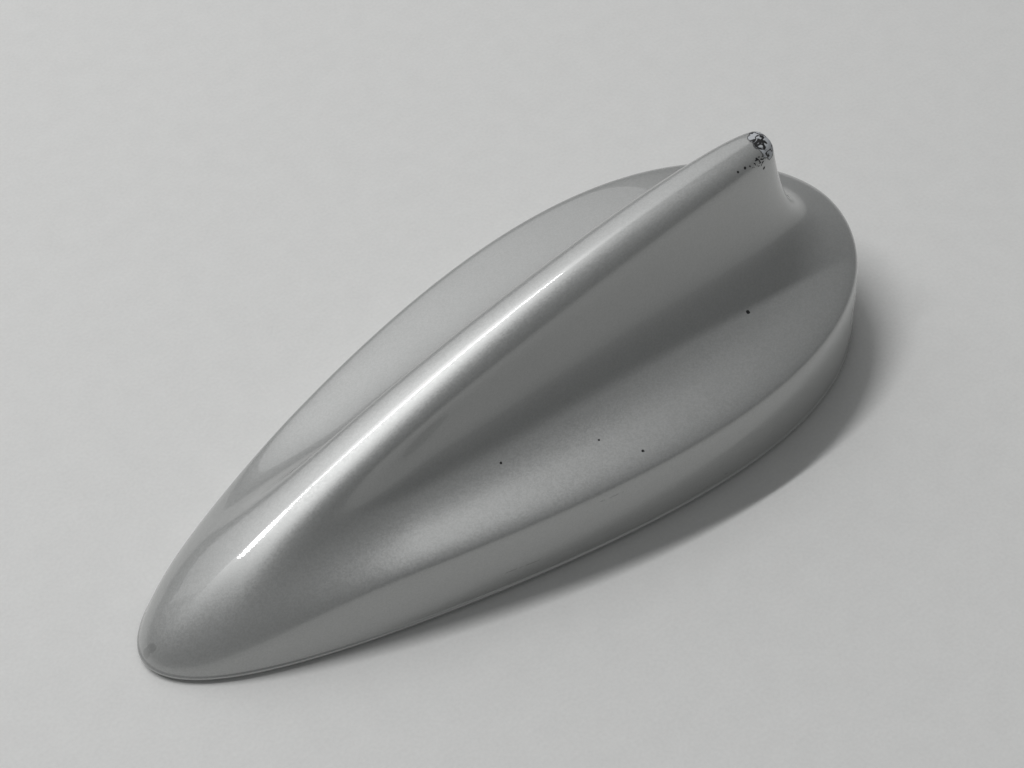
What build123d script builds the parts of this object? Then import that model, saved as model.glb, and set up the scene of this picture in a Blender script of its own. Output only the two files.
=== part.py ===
"""Car roof antenna: a painted fin-shaped cover over a cast base with its seals, boards, aerials and sockets.

Every length is in millimetres. While the pieces are drawn, X runs back from the nose, Y across to the car's
right and Z up from the roof; on export they are moved so that X is zero at half length.
"""
from build123d import *
import os
from math import cos, pi, sin

os.makedirs("parts", exist_ok=True)

# Rim of the cover, an egg-shaped plan
length = 160.0
rim_half = 29.7
rim_lean = 0.41
rim_belly = 0.18
rim_power = 0.95
rim_gap = 1.0

# Shoulder where the rim's face turns in towards the scoops
shoulder_front = 1.2
shoulder_back = 0.6
shoulder_in = 1.2
shoulder_lean = 0.48
shoulder_belly = 0.06
shoulder_nose_z = 8.0
shoulder_tail_z = 17.8
shoulder_fall = 2.56

# Floor of the two scoops beside the fin
scoop_front = 7.0
scoop_rear = 146.0
scoop_half = 9.0
scoop_lean = 0.3
scoop_power = 1.15
scoop_nose_z = 9.2
scoop_tail_z = 20.6

# Strip along the top of the fin, its two edges and its centre line
strip_front = 12.0
strip_rear = 138.6
strip_half = 3.95
strip_lean = 0.05
strip_belly = 0.85
strip_power = 1.65
strip_crown = 0.3
ridge_front = 15.0
ridge_rear = 137.0
ridge_foot_x = 14.0
ridge_foot_z = 11.6
ridge_tip_z = 45.4
ridge_rise = 1.85
ridge_bend = -0.86

# Where the in-between controls of a rib lie between the rails
share_rim = 0.89
share_shelf = 0.3
share_flank = 0.75
rib_degree = 3
ribs_across = 33
points_up = 31
plan_steps = 10

# Walls of the cover and the step that the base closes
wall = 2.2
flank_share = 0.75
nose_setback = 5.6
pocket_inset = 2.4
cavity_inset = 3.6
ledge_z = 6.4
step_overlap = 0.8

# Base casting, seals and their fits
seal_gap = 0.4
gasket_height = 2.8
gasket_outer = 3.2
gasket_inner = 6.8
gasket_fit = 0.2
lip_width = 1.2
lip_depth = 0.8
pad_z = 2.2
base_top = 5.2
seal_width = 1.5

# Fixing to the roof
mount_front = 28.0
mount_rear = 144.0
insert_bore = 2.1
insert_radius = 3.2
insert_top = 8.0
boss_radius = 4.6
boss_top = 9.0

# Screws that hold the cover to the base
cover_bosses = [(62.0, 15.0, 13.2), (135.5, 15.5, 17.0)]
cover_boss_radius = 3.0
cover_screw_radius = 1.1
cover_screw_hole = 1.5
cover_head_radius = 2.8
cover_head_height = 1.4
cover_head_seat = 3.8
cover_screw_top = 10.2
cover_pilot_top = 10.8
head_fit = 0.4

# Main circuit board
board_low = 6.8
board_thick = 1.6
board_front = 43.0
board_step = 73.0
board_rear = 131.0
tongue_half = 11.0
board_half = 19.5
board_round = 2.5
board_screw_at = [(77.0, 16.5), (77.0, -16.5), (127.0, 16.5), (127.0, -16.5)]
board_screw_radius = 1.0
board_screw_hole = 1.4
board_head_radius = 2.4
board_head_height = 1.6
standoff_radius = 3.0
pilot_low = 3.4
board_screw_low = 3.6
recess_width = 0.7
recess_length = 2.8
recess_depth = 0.8

# Ceramic patch aerial
patch_x = 86.0
patch_size = 20.0
patch_height = 4.0
patch_chamfer = 1.0
patch_pad_size = 18.0
patch_pad_height = 0.4
electrode_size = 16.0
electrode_height = 0.2
electrode_trim = 2.0
feed_offset = 2.0
feed_radius = 0.5
feed_head_radius = 1.2
feed_head_height = 0.4
feed_tail = 0.6

# Shield over the amplifier
shield_x = 113.0
shield_y = 12.0
shield_long = 20.0
shield_wide = 13.0
shield_high = 3.0
sheet = 0.4
lid_skirt = 1.6
lid_fit = 0.05

# Upright board in the fin with its aerials
fin_thick = 1.0
fin_front = 99.0
fin_rear = 133.5
fin_front_top = 30.0
fin_shoulder = (104.0, 35.7)
fin_crest = (131.0, 38.8)
fin_rear_top = 36.0
tab_front = 112.0
tab_rear = 120.0
foil = 0.2
foil_front = 104.0
foil_rear = 131.0
foil_low = 14.5
foil_high = 33.0
foil_slot = 1.4
foil_slots = 5
foil_bridge = 3.0
leg_front = 99.5
leg_low = 10.0
leg_high = 26.0
holder_front = 104.0
holder_rear = 128.0
holder_half = 3.5
holder_high = 5.0
holder_floor = 1.2
holder_chamfer = 1.0
peg_radius = 1.0
peg_inset = 2.0
peg_y = 2.2
clip_wide = 3.0
clip_foot = 5.0
clip_high = 18.0
clip_sheet = 0.3
pad_front = 108.0
pad_rear = 128.0
pad_half = 1.1
pad_high = 2.2

# Springs that ground the board on the base
spring_x = 97.0
spring_y = 15.5
spring_half = 4.0
spring_foot = 0.5
spring_wide = 3.0
spring_sheet = 0.3

# Socket block for the two aerial leads
socket_x = 59.0
socket_pitch = 10.0
socket_long = 22.0
socket_wide = 12.0
socket_round = 2.0
socket_top = 10.8
well_radius = 4.2
well_roof = 9.2
flange_margin = 2.0
flange_high = 1.2
window_fit = 0.3
key_wide = 1.4
key_deep = 1.0
sleeve_radius = 2.1
sleeve_wall = 0.4
sleeve_low = 4.6
plug_low = 7.6
pin_wide = 0.7
pin_low = 5.4
pin_over = 11.6
pin_side = 8.0
pin_bend = 0.8
pin_tail = 6.5
centre_seal_margin = 5.0
centre_seal_wide = 3.0

board_top = board_low + board_thick
knot_spans = 5


def rail(u, front, rear, half, lean, belly, power):
    """A half plan curve from nose to tail: u is 0 at the nose and 1 at the tail."""
    share = (1 - cos(pi * u)) / 2
    c = 2 * share - 1
    x = rear - (rear - front) * (1 - share) ** power
    y = half * sin(pi * u) * (1 + lean * c + belly * c * c)
    return x, y


def ridge_height(x):
    """Side profile of the fin's top, a cubic in the share of its run."""
    s = (x - ridge_foot_x) / (ridge_rear - ridge_foot_x)
    cubic = ridge_rise * s + ridge_bend * s**2 + (1 - ridge_rise - ridge_bend) * s**3
    return ridge_foot_z + (ridge_tip_z - ridge_foot_z) * cubic


def between(a, b, share):
    """The point a given share of the way from a to b."""
    return a + (b - a) * share


def rib_controls(u, skin, edge, foot):
    """Controls of one rib, from the rim's lower edge over shoulder and scoop to the ridge.

    skin is how far the rib lies inside the outer face, edge the same at the rim, foot its lowest height.
    """
    x0, y0 = rail(u, edge, length - edge, rim_half - edge, rim_lean, rim_belly, rim_power)
    low = Vector(x0, y0, foot)
    x1, y1 = rail(u, shoulder_front + edge, length - shoulder_back - edge, rim_half - shoulder_in - edge,
                  shoulder_lean, shoulder_belly, rim_power)
    fall = (shoulder_tail_z - shoulder_nose_z) * (1 - x1 / length) ** shoulder_fall
    shoulder = Vector(x1, y1, shoulder_tail_z - fall - skin)
    x2, y2 = rail(u, scoop_front + skin, scoop_rear - skin, scoop_half - flank_share * skin,
                  scoop_lean, 0, scoop_power)
    scoop = Vector(x2, y2, scoop_nose_z + (scoop_tail_z - scoop_nose_z) * x2 / length - skin)
    x3, y3 = rail(u, strip_front + skin, strip_rear - skin, strip_half - skin,
                  strip_lean, strip_belly, strip_power)
    corner = Vector(x3, y3, ridge_height(x3) - strip_crown - skin)
    x4, y4 = rail(u, ridge_front + skin, ridge_rear - skin, 0, 0, 0, strip_power)
    crest = Vector(x4, y4, ridge_height(x4) - skin)
    return [low, between(low, shoulder, share_rim), shoulder, between(shoulder, scoop, share_shelf),
            scoop, between(scoop, corner, share_flank), corner, crest]


def rib_weights(v):
    """Clamped uniform B-spline weights of the rib's controls at v, 0 at the rim and 1 at the ridge."""
    knots = [0.0] * rib_degree + [k / knot_spans for k in range(knot_spans + 1)] + [1.0] * rib_degree
    span = min(int(v * knot_spans), knot_spans - 1) + rib_degree
    weights = [0.0] * (len(knots) - 1)
    weights[span] = 1.0
    for degree in range(1, rib_degree + 1):
        for i in range(len(knots) - 1 - degree):
            rise = knots[i + degree] - knots[i]
            fall = knots[i + degree + 1] - knots[i + 1]
            left = (v - knots[i]) / rise * weights[i] if rise else 0.0
            right = (knots[i + degree + 1] - v) / fall * weights[i + 1] if fall else 0.0
            weights[i] = left + right
    return weights[:knot_spans + rib_degree]


def fin_body(skin, edge, foot):
    """Closed body under the cover's face, or under its inner face for a skin above zero."""
    weights = [rib_weights(j / (points_up - 1)) for j in range(points_up)]
    grid = []
    for i in range(ribs_across):
        controls = rib_controls(i / (ribs_across - 1), skin, edge, foot)
        grid.append([sum((c * w for c, w in zip(controls, row)), Vector()) for row in weights])
    left = Face.make_surface_from_array_of_points(grid, tol=0.01, min_deg=3, max_deg=5)
    right = left.mirror(Plane.XZ)
    rim = [half.edges().sort_by(Axis.Z)[0] for half in (left, right)]
    return Solid(Shell([left, right, Face(Wire(rim))]))


def slab(inset, low, high):
    """Plate of the rim's plan, drawn in by inset and short of the nose, between two heights."""
    left = [rail(k / plan_steps, inset + nose_setback, length - inset, rim_half - inset,
                 rim_lean, rim_belly, rim_power) for k in range(plan_steps + 1)]
    right = [(x, -y) for x, y in left[-2:0:-1]]
    plan = make_face(Spline(left + right, periodic=True))
    return extrude(Pos(0, 0, low) * plan, high - low)


def drum(x, y, low, high, radius):
    """Upright cylinder between two heights."""
    return Pos(x, y, low) * extrude(Circle(radius), high - low)


def tube(x, y, low, high, outer, inner):
    """Upright hollow cylinder between two heights."""
    return drum(x, y, low, high, outer) - drum(x, y, low, high, inner)


def block(x, y, low, high, along, across, corner=0.0):
    """Upright block centred on x, y with rounded corners."""
    plan = RectangleRounded(along, across, corner) if corner else Rectangle(along, across)
    return Pos(x, y, low) * extrude(plan, high - low)


def both_sides(x, y):
    """A place and its mirror image across the middle plane."""
    return [(x, y), (x, -y)]


def ring(outer, inner, low, high):
    """Flat ring between two insets of the rim's plan."""
    return slab(outer, low, high) - slab(inner, low, high)


def group(solids):
    """Separate solids kept together in one node."""
    return Compound([piece.solid() for piece in solids])


# Cover: outer body, hollow inside, a straight pocket for the base and four screw bosses
roof_z = 60.0
cover = fin_body(0, 0, rim_gap)
cavity = fin_body(wall, cavity_inset, 0) & slab(cavity_inset, ledge_z - step_overlap, roof_z)
pocket = slab(pocket_inset, 0, ledge_z)
cover = cover - cavity - pocket
cover_places = [(x, y, top) for bx, by, top in cover_bosses for x, y in both_sides(bx, by)]
for x, y, top in cover_places:
    cover = cover + drum(x, y, base_top, top, cover_boss_radius)
for x, y, top in cover_places:
    cover = cover - drum(x, y, base_top, cover_pilot_top, cover_screw_radius)

# Base casting with mount bosses and stand-offs
base_inset = pocket_inset + seal_gap
base_plate = slab(base_inset, gasket_height, base_top)
base_plate = base_plate + slab(gasket_inner + gasket_fit, pad_z, gasket_height)
mounts = [mount_front, mount_rear]
for x in mounts:
    base_plate = base_plate + drum(x, 0, base_top, boss_top, boss_radius)
for x, y in board_screw_at:
    base_plate = base_plate + drum(x, y, base_top, board_low, standoff_radius)
for x in mounts:
    base_plate = base_plate - drum(x, 0, pad_z, insert_top, insert_radius)
for x, y in board_screw_at:
    base_plate = base_plate - drum(x, y, pilot_low, board_low, board_screw_radius)
for x, y, top in cover_places:
    base_plate = base_plate - drum(x, y, pad_z, base_top, cover_screw_hole)
    base_plate = base_plate - drum(x, y, pad_z, cover_head_seat, cover_head_radius + head_fit)
window_long = socket_long + 2 * window_fit
window_wide = socket_wide + 2 * window_fit
base_plate = base_plate - block(socket_x, 0, pad_z, base_top, window_long, window_wide, socket_round)

# Seals
rim_gasket = ring(gasket_outer, gasket_inner, 0, gasket_height)
rim_gasket = rim_gasket - ring(gasket_outer + lip_width, gasket_inner - lip_width, 0, lip_depth)
inner_seal = ring(base_inset, base_inset + seal_width, base_top, ledge_z)
seal_long = socket_long + 2 * centre_seal_margin
seal_wide = socket_wide + 2 * centre_seal_margin
centre_seal = block(socket_x, 0, 0, pad_z, seal_long, seal_wide, centre_seal_margin)
inside = 2 * centre_seal_wide
centre_seal = centre_seal - block(socket_x, 0, 0, pad_z,
                                  seal_long - inside, seal_wide - inside, socket_round)
lip = 2 * lip_width
groove = block(socket_x, 0, 0, lip_depth, seal_long - lip, seal_wide - lip, centre_seal_margin - lip_width)
groove = groove - block(socket_x, 0, 0, lip_depth,
                        seal_long - inside + lip, seal_wide - inside + lip, socket_round)
centre_seal = centre_seal - groove

# Threaded inserts and screws
mount_inserts = group(tube(x, 0, pad_z, insert_top, insert_radius, insert_bore) for x in mounts)


def cover_screw(x, y):
    """Screw put in from below, its head with a six-sided recess."""
    head_low = cover_head_seat - cover_head_height
    head = drum(x, y, head_low, cover_head_seat, cover_head_radius)
    socket = Pos(x, y, head_low) * extrude(RegularPolygon(recess_length / 2, 6), recess_depth)
    return head - socket + drum(x, y, cover_head_seat, cover_screw_top, cover_screw_radius)


def board_screw(x, y):
    """Screw put in from above, its head with a crossed recess."""
    head = drum(x, y, board_top, board_top + board_head_height, board_head_radius)
    cross_low = board_top + board_head_height - recess_depth
    for along, across in ((recess_length, recess_width), (recess_width, recess_length)):
        head = head - block(x, y, cross_low, board_top + board_head_height, along, across)
    return head + drum(x, y, board_screw_low, board_top, board_screw_radius)


cover_screws = group(cover_screw(x, y) for x, y, top in cover_places)
board_screws = group(board_screw(x, y) for x, y in board_screw_at)

# Main board: a tongue round the socket block and a wider rear
tongue = Pos((board_front + board_step) / 2, 0) * Rectangle(board_step - board_front, 2 * tongue_half)
rear = Pos((board_step + board_rear) / 2, 0) * Rectangle(board_rear - board_step, 2 * board_half)
board_plan = tongue + rear
board_plan = fillet(board_plan.vertices(), board_round)
main_board = Pos(0, 0, board_low) * extrude(board_plan, board_thick)
main_board = main_board - block(socket_x, 0, board_low, board_top, window_long, window_wide, socket_round)
for x, y in board_screw_at:
    main_board = main_board - drum(x, y, board_low, board_top, board_screw_hole)
sockets = [socket_x - socket_pitch / 2, socket_x + socket_pitch / 2]
for x in sockets:
    main_board = main_board - block(x, pin_side, board_low, board_top, pin_wide, pin_wide)
feed_x = patch_x + feed_offset
main_board = main_board - drum(feed_x, 0, board_low, board_top, feed_radius)
pegs = [(holder_front + peg_inset, peg_y), (holder_rear - peg_inset, -peg_y)]
for x, y in pegs:
    main_board = main_board - drum(x, y, board_low, board_top, peg_radius)
tab_x = (tab_front + tab_rear) / 2
tab_long = tab_rear - tab_front
main_board = main_board - block(tab_x, 0, board_low, board_top, tab_long, fin_thick)

# Ceramic patch on its pad, with electrode and feed pin
pad_top = board_top + patch_pad_height
ceramic_top = pad_top + patch_height
electrode_top = ceramic_top + electrode_height
feed_hole = drum(feed_x, 0, board_low - feed_tail, electrode_top, feed_radius)
patch_pad = block(patch_x, 0, board_top, pad_top, patch_pad_size, patch_pad_size) - feed_hole
patch_ceramic = block(patch_x, 0, pad_top, ceramic_top, patch_size, patch_size)
patch_ceramic = chamfer(patch_ceramic.edges().filter_by(Axis.Z), patch_chamfer) - feed_hole
patch_electrode = block(patch_x, 0, ceramic_top, electrode_top, electrode_size, electrode_size)
trimmed = patch_electrode.edges().filter_by(Axis.Z).sort_by(lambda e: e.center().X + e.center().Y)
patch_electrode = chamfer([trimmed[0], trimmed[-1]], electrode_trim) - feed_hole
patch_pin = feed_hole + drum(feed_x, 0, electrode_top, electrode_top + feed_head_height, feed_head_radius)

# Shield: a frame of sheet and a lid that slips over it, chips inside and beside
frame_top = board_top + shield_high
shield_frame = block(shield_x, shield_y, board_top, frame_top, shield_long, shield_wide)
shield_frame = shield_frame - block(shield_x, shield_y, board_top, frame_top,
                                    shield_long - 2 * sheet, shield_wide - 2 * sheet)
lid_inner_long = shield_long + 2 * lid_fit
lid_inner_wide = shield_wide + 2 * lid_fit
shield_lid = block(shield_x, shield_y, frame_top - lid_skirt, frame_top + sheet,
                   lid_inner_long + 2 * sheet, lid_inner_wide + 2 * sheet)
shield_lid = shield_lid - block(shield_x, shield_y, frame_top - lid_skirt, frame_top,
                                lid_inner_long, lid_inner_wide)
chips = [(109.0, 12.0, 5.0, 5.0, 1.0), (117.5, 12.5, 4.0, 4.0, 0.9), (109.0, -10.0, 7.0, 7.0, 1.4),
         (119.0, -10.0, 5.0, 5.0, 1.2), (104.0, -15.5, 3.0, 4.0, 1.6), (114.0, -16.0, 4.0, 2.5, 1.2),
         (120.0, -15.5, 2.5, 3.5, 1.0)]
board_chips = group(block(x, y, board_top, board_top + high, along, across)
                    for x, y, along, across, high in chips)

# Upright board, its foils, holder, clip and pad

def upright_plate(points, y_low, y_high):
    """Plate standing in the middle plane, outlined in X and Z, between two Y values."""
    face = make_face(Polyline(*[(x, 0, z) for x, z in points], close=True))
    return extrude(Pos(0, y_low, 0) * face, y_high - y_low, dir=(0, 1, 0))


fin_low = board_top + holder_floor
fin_outline = [(fin_front, fin_low), (fin_front, fin_front_top), fin_shoulder, fin_crest,
               (fin_rear, fin_rear_top), (fin_rear, fin_low), (tab_rear, fin_low), (tab_rear, board_low),
               (tab_front, board_low), (tab_front, fin_low)]
fin_side = fin_thick / 2
fin_board = upright_plate(fin_outline, -fin_side, fin_side)
foil_outline = [(leg_front, leg_low), (leg_front, leg_high), (foil_front, leg_high), (foil_front, foil_high),
                (foil_rear, foil_high), (foil_rear, foil_low), (leg_front + clip_wide, foil_low),
                (leg_front + clip_wide, leg_low)]
left_foil = upright_plate(foil_outline, fin_side, fin_side + foil)
slot_step = (foil_rear - foil_front) / (foil_slots + 1)
for k in range(foil_slots):
    x = foil_front + (k + 1) * slot_step
    low = foil_low if k % 2 else foil_low + foil_bridge
    high = foil_high - foil_bridge if k % 2 else foil_high
    left_foil = left_foil - block(x, fin_side + foil / 2, low, high, foil_slot, foil)
right_foil = upright_plate([(foil_front, foil_low), (foil_front, foil_high - foil_bridge),
                            (foil_rear, foil_high), (foil_rear, foil_low)], -fin_side - foil, -fin_side)
slot_z = (foil_low + foil_high) / 2
slot_long = foil_rear - foil_front - foil_bridge
right_foil = right_foil - block(foil_front + slot_long / 2, -fin_side - foil / 2, slot_z, slot_z + foil_slot,
                                slot_long, foil)
fin_radiators = group([left_foil, right_foil])
holder_x = (holder_front + holder_rear) / 2
holder_long = holder_rear - holder_front
holder_top = board_top + holder_high
fin_holder = block(holder_x, 0, board_top, holder_top, holder_long, 2 * holder_half)
fin_holder = chamfer(fin_holder.edges().group_by(Axis.Z)[-1].filter_by(Axis.X), holder_chamfer)
fin_holder = fin_holder - block(holder_x, 0, fin_low, holder_top, holder_long, fin_thick)
fin_holder = fin_holder - block(tab_x, 0, board_top, fin_low, tab_long, fin_thick)
for x, y in pegs:
    fin_holder = fin_holder + drum(x, y, board_low, board_top, peg_radius)
clip_y = fin_side + foil
clip_back = clip_y + clip_sheet
clip_top = board_top + clip_sheet
clip_section = [(clip_y, board_top), (clip_foot, board_top), (clip_foot, clip_top),
                (clip_back, clip_top), (clip_back, clip_high), (clip_y, clip_high)]
clip_face = make_face(Polyline(*[(leg_front, y, z) for y, z in clip_section], close=True))
feed_clip = extrude(clip_face, clip_wide, dir=(1, 0, 0))


def crest_z(x):
    """Height of the upright board's sloping top edge."""
    share = (x - fin_shoulder[0]) / (fin_crest[0] - fin_shoulder[0])
    return between(fin_shoulder[1], fin_crest[1], share)


pad_ends = [(x, crest_z(x)) for x in (pad_front, pad_rear)]
pad_outline = pad_ends + [(x, z + pad_high) for x, z in reversed(pad_ends)]
fin_pad = upright_plate(pad_outline, -pad_half, pad_half)


def ground_spring(x, y):
    """Bowed strip whose feet stand on the base and whose crown meets the board."""
    over = ThreePointArc((x - spring_half, 0, base_top), (x, 0, board_low), (x + spring_half, 0, base_top))
    under = ThreePointArc((x + spring_half - spring_foot, 0, base_top), (x, 0, board_low - spring_sheet),
                          (x - spring_half + spring_foot, 0, base_top))
    front = Line(under @ 1, over @ 0)
    back = Line(over @ 1, under @ 0)
    bow = make_face([over, back, under, front])
    return extrude(Pos(0, y - spring_wide / 2, 0) * bow, spring_wide, dir=(0, 1, 0))


ground_springs = group(ground_spring(x, y) for x, y in both_sides(spring_x, spring_y))

# Socket block with two wells open to the roof, and its contacts
coax_housing = block(socket_x, 0, pad_z, socket_top, socket_long, socket_wide, socket_round)
coax_housing = coax_housing + block(socket_x, 0, base_top, base_top + flange_high,
                                    socket_long + 2 * flange_margin, socket_wide + 2 * flange_margin,
                                    socket_round)
for x in sockets:
    coax_housing = coax_housing - drum(x, 0, pad_z, well_roof, well_radius)
    coax_housing = coax_housing - block(x, -well_radius, pad_z, well_roof, key_wide, 2 * key_deep)
    coax_housing = coax_housing - drum(x, 0, well_roof, socket_top, sleeve_radius)
bore = sleeve_radius - sleeve_wall
coax_sleeves = group(tube(x, 0, sleeve_low, socket_top, sleeve_radius, bore) for x in sockets)
coax_insulators = group(drum(x, 0, plug_low, socket_top, bore)
                        - block(x, 0, plug_low, socket_top, pin_wide, pin_wide) for x in sockets)


def coax_pin(x):
    """Square centre contact bent over the block's top and down through the board."""
    path = FilletPolyline((x, 0, pin_low), (x, 0, pin_over), (x, pin_side, pin_over), (x, pin_side, pin_tail),
                          radius=pin_bend)
    section = Plane(path @ 0, x_dir=(1, 0, 0), z_dir=path % 0) * Rectangle(pin_wide, pin_wide)
    return sweep(section, path)


coax_pins = group(coax_pin(x) for x in sockets)

nodes = {
    "cover": cover,
    "base_plate": base_plate,
    "rim_gasket": rim_gasket,
    "inner_seal": inner_seal,
    "centre_seal": centre_seal,
    "mount_inserts": mount_inserts,
    "cover_screws": cover_screws,
    "board_screws": board_screws,
    "main_board": main_board,
    "patch_pad": patch_pad,
    "patch_ceramic": patch_ceramic,
    "patch_electrode": patch_electrode,
    "patch_pin": patch_pin,
    "shield_frame": shield_frame,
    "shield_lid": shield_lid,
    "board_chips": board_chips,
    "fin_board": fin_board,
    "fin_radiators": fin_radiators,
    "fin_holder": fin_holder,
    "feed_clip": feed_clip,
    "fin_pad": fin_pad,
    "ground_springs": ground_springs,
    "coax_housing": coax_housing,
    "coax_sleeves": coax_sleeves,
    "coax_insulators": coax_insulators,
    "coax_pins": coax_pins,
}
for name, shape in nodes.items():
    export_step(Pos(-length / 2, 0, 0) * shape, f"parts/{name}.step")
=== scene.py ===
"""Looks of a car roof antenna: a painted fin cover over its cast base, seals, boards, aerials and sockets."""
from math import cos, pi, radians, sin

import bpy
import numpy as np
from bpy.props import FloatProperty, FloatVectorProperty, IntProperty, PointerProperty
from mathutils import Matrix, Vector


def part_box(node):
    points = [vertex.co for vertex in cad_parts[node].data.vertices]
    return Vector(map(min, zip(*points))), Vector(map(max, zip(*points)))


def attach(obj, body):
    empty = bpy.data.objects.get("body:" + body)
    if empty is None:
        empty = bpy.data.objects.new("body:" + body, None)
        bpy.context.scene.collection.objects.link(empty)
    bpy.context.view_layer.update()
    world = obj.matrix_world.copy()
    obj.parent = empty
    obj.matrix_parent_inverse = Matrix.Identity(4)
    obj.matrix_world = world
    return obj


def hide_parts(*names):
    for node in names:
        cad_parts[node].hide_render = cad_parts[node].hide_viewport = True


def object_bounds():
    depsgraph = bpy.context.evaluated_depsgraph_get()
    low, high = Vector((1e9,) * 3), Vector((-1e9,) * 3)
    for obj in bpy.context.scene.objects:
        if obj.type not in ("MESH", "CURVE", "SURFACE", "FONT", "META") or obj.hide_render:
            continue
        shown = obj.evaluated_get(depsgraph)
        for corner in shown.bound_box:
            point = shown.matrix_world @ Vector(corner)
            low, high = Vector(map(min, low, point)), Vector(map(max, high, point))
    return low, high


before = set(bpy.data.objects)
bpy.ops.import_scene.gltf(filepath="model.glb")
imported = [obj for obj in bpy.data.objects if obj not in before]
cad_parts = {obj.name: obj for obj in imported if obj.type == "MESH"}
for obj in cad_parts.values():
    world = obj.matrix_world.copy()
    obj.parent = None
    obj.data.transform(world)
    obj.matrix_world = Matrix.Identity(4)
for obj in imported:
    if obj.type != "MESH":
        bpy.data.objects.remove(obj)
cad_low, cad_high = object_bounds()

bl_info = {
    "name": "Roof antenna looks",
    "version": (1, 0, 0),
    "blender": (4, 5, 0),
    "location": "3D View > Sidebar > Antenna",
    "description": "Builds the painted cover and dresses the pieces of a car roof antenna",
    "category": "Add Mesh",
}
BODY = "root"
MM = 0.001

# Lines of the cover: plan (lean, belly and power of rail) and run (start and end in shares of the length)
RIM_PLAN, RIM_RUN = (0.41, 0.18, 0.95), (0.0, 1.0)
SHOULDER_PLAN, SHOULDER_RUN = (0.48, 0.06, 0.95), (0.0075, 0.99625)
FLOOR_PLAN, FLOOR_RUN = (0.3, 0.0, 1.15), (0.04375, 0.9125)
STRIP_PLAN, STRIP_RUN = (-0.12, 0.5, 1.65), (0.075, 0.86625)
CREST_PLAN, CREST_RUN = (0.0, 0.0, 1.65), (0.09375, 0.85625)
# Rise of the ridge over its run as a cubic without a constant, and the power of the shoulder's rise
RIDGE_RUN, RIDGE_CUBIC = (0.0875, 0.85625), (1.85, -0.86, 0.01)
SHOULDER_RISE = 2.56
# Places of the in-between controls: towards the shoulder, towards the floor, and towards the strip's edge, which is
# crisper at the tail (start and span in shares of the length)
RIM_PULL, SCOOP_PULL, EDGE_PULL = 0.89, 0.3, 0.8
TAIL_CRISP, CRISP_START, CRISP_SPAN = 0.13, 0.5, 0.3
# Bow of the nose: its fullness, and where it starts to turn into the hollow and over how much of u
BOW_FULL, BOW_END, BOW_BLEND = 0.9, 0.11, 0.25
# Share of the wall that narrows the scoop's floor inside, and share of v that the close rows of the lip take
FLOOR_DRAW, LIP_SPAN = 0.75, 0.02

# Marks on the paint, in metres
CHIP = {"Centre": (0.0567, -0.0009, 0.044), "Reach": (0.0025, 0.0033, 0.0032), "Ragged": 0.55, "Scale": 900.0}
WORN_EDGE = {"Centre": (0.0536, -0.0036, 0.0436), "Reach": (0.0024, 0.0007, 0.0012), "Ragged": 0.9, "Scale": 1600.0}
SPECKS = (
    ((0.04333, -0.01563, 0.02045), 0.00042),
    ((0.00859, -0.02637, 0.01692), 0.0003),
    ((-0.01305, -0.01334, 0.01727), 0.00026),
    ((0.0038, -0.01997, 0.01734), 0.00022),
    ((0.05028, -0.00356, 0.04398), 0.0003),
    ((0.04858, -0.00354, 0.04396), 0.00026),
    ((0.0549, -0.00404, 0.04164), 0.00034),
)
SCRATCHES = (
    ((-0.02152, -0.02574, 0.00525), (-0.015, -0.02714, 0.00504)),
    ((0.01709, -0.0318, 0.00199), (0.02526, -0.03219, 0.00304)),
    ((-0.00288, -0.02847, 0.01358), (0.00174, -0.02926, 0.01354)),
)
SCRATCH_WIDTH = 0.0002
# Darker patches low on the nose tip, just above its gap over the bench
NOSE_DARK_SPOTS = ((-0.07892, 0.00034, 0.00262), (-0.07802, -0.00006, 0.00367))
NOSE_DARK_REACH = 0.001

# Stage: place, aim and sides of the two lamps, the point that the camera looks at and half the bench, in metres
STRIP_LAMP = {"at": (-0.36, 0.58, 1.2), "aim": (-0.36, 0.0, 0.02), "sides": (1.0, 0.05)}
FAR_LAMP = {"at": (0.0, 1.7, 1.6), "aim": (0.0, 0.0, 0.02), "sides": (3.0, 2.0)}
LOOK_AT = (0.0, 0.0, 0.02)
BENCH_HALF = 2.0


def size(name, note, value):
    """A length in metres, given in millimetres."""
    return FloatProperty(name=name, description=note, default=value * MM, unit="LENGTH", subtype="DISTANCE",
                         precision=5)


def share(name, note, value):
    """A plain number."""
    return FloatProperty(name=name, description=note, default=value, precision=4)


def tone(name, note, value):
    """A colour, linear red, green and blue."""
    return FloatVectorProperty(name=name, description=note, default=value, size=3, subtype="COLOR", min=0.0,
                               max=1.0)


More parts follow.
